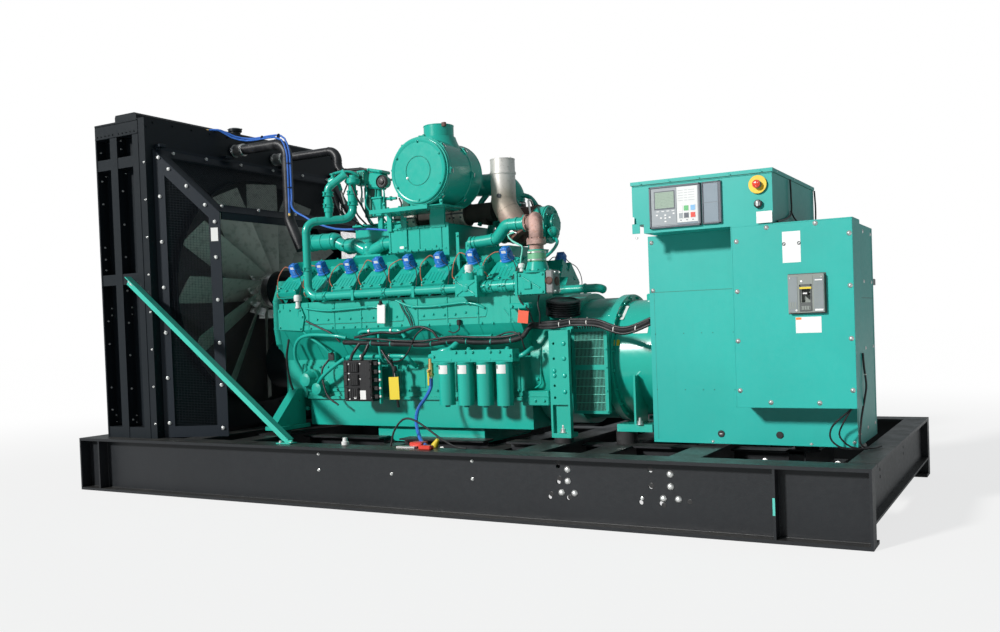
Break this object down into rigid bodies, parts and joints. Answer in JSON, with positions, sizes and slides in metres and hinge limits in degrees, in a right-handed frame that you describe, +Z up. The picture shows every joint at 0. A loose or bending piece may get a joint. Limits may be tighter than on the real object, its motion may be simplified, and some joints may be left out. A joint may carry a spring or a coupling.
{
  "type": "gas-engine generator set on a steel skid",
  "caption": "Skid-mounted generator set: V engine with belt-driven fan and tall radiator at one end, alternator with breaker cubicle and control box at the other.",
  "frame": {"origin": "under the middle of the skid, at its bottom face", "axes": "+X along the crankshaft to the alternator end, +Y away from the side with the breaker, +Z up"},
  "size_m": [6.1, 2.63, 3.04],
  "materials": {
    "skid_paint": "semi-gloss black",
    "radiator_paint": "satin black",
    "core_fins": "dull",
    "guard_wire": "satin black",
    "fan_blade": "dull",
    "engine_paint": "gloss blue-green",
    "iron_paint": "gloss blue-green paint on a casting",
    "panel_paint": "powder coat",
    "hose_rubber": "matt",
    "mount_rubber": "matt",
    "exhaust_steel": "satin, with heat tint",
    "exhaust_lagging": "woven, dusty",
    "rusty_iron": "rusty",
    "coil_plastic": "gloss blue",
    "module_metal": "satin black",
    "breaker_plastic": "matt grey",
    "handle_plastic": "matt black",
    "bezel_plastic": "matt grey",
    "stop_plastic": "gloss red",
    "switch_metal": "polished",
    "valve_brass": "dull",
    "blue_tube": "satin",
    "cable_sleeve": "matt black"
  },
  "bodies": {
    "frame_and_machines": {"skid_rails": "skid_paint", "skid_cross_members": "skid_paint", "skid_bearers": "skid_paint", "radiator_frame": "radiator_paint", "radiator_cores": "core_fins", "fan_shroud": "radiator_paint", "fan_guard": "radiator_paint", "fan_guard_mesh": "guard_wire", "fan_drive": "radiator_paint", "radiator_braces": "panel_paint", "coolant_hoses": "hose_rubber", "engine_block": "iron_paint", "gear_cover": "iron_paint", "oil_pan": "engine_paint", "flywheel_housing": "iron_paint", "engine_mounts": "iron_paint", "rubber_mounts": "mount_rubber", "cylinder_heads": "iron_paint", "intake_manifold": "engine_paint", "aftercooler": "engine_paint", "gas_train": "engine_paint", "air_cleaner": "engine_paint", "air_cleaner_stand": "engine_paint", "turbochargers": "engine_paint", "exhaust_elbow": "exhaust_steel", "exhaust_riser": "rusty_iron", "oil_filters": "engine_paint", "control_modules": "module_metal", "ignition_coils": "coil_plastic", "alternator_adaptor": "iron_paint", "alternator_frame": "engine_paint", "terminal_box": "panel_paint", "terminal_cover": "panel_paint", "circuit_breaker": "breaker_plastic", "control_box": "panel_paint", "display_panel": "bezel_plastic", "exhaust_manifold": "exhaust_lagging", "drain_valve": "valve_brass", "drain_hose": "blue_tube", "vent_lines": "blue_tube", "wiring_harness": "cable_sleeve"},
    "fan": {"fan": "fan_blade"},
    "breaker_handle": {"breaker_handle": "handle_plastic"},
    "emergency_stop": {"emergency_stop": "stop_plastic"},
    "key_switch": {"key_switch": "switch_metal"}
  },
  "joints": [
    {"name": "fan_spin", "type": "hinge", "parent": "frame_and_machines", "child": "fan", "pos_m": [-2.195, 0, 1.59], "axis": [1, 0, 0], "continuous": true},
    {"name": "breaker_toggle", "type": "hinge", "parent": "frame_and_machines", "child": "breaker_handle", "pos_m": [2.67, -0.922, 1.332], "axis": [1, 0, 0], "range_deg": [-20, 20]},
    {"name": "stop_press", "type": "slide", "parent": "frame_and_machines", "child": "emergency_stop", "axis": [0, 1, 0], "range_m": [0, 0.006]},
    {"name": "key_turn", "type": "hinge", "parent": "frame_and_machines", "child": "key_switch", "pos_m": [2.414, -0.9, 1.855], "axis": [0, 1, 0], "range_deg": [0, 90]}
  ]
}
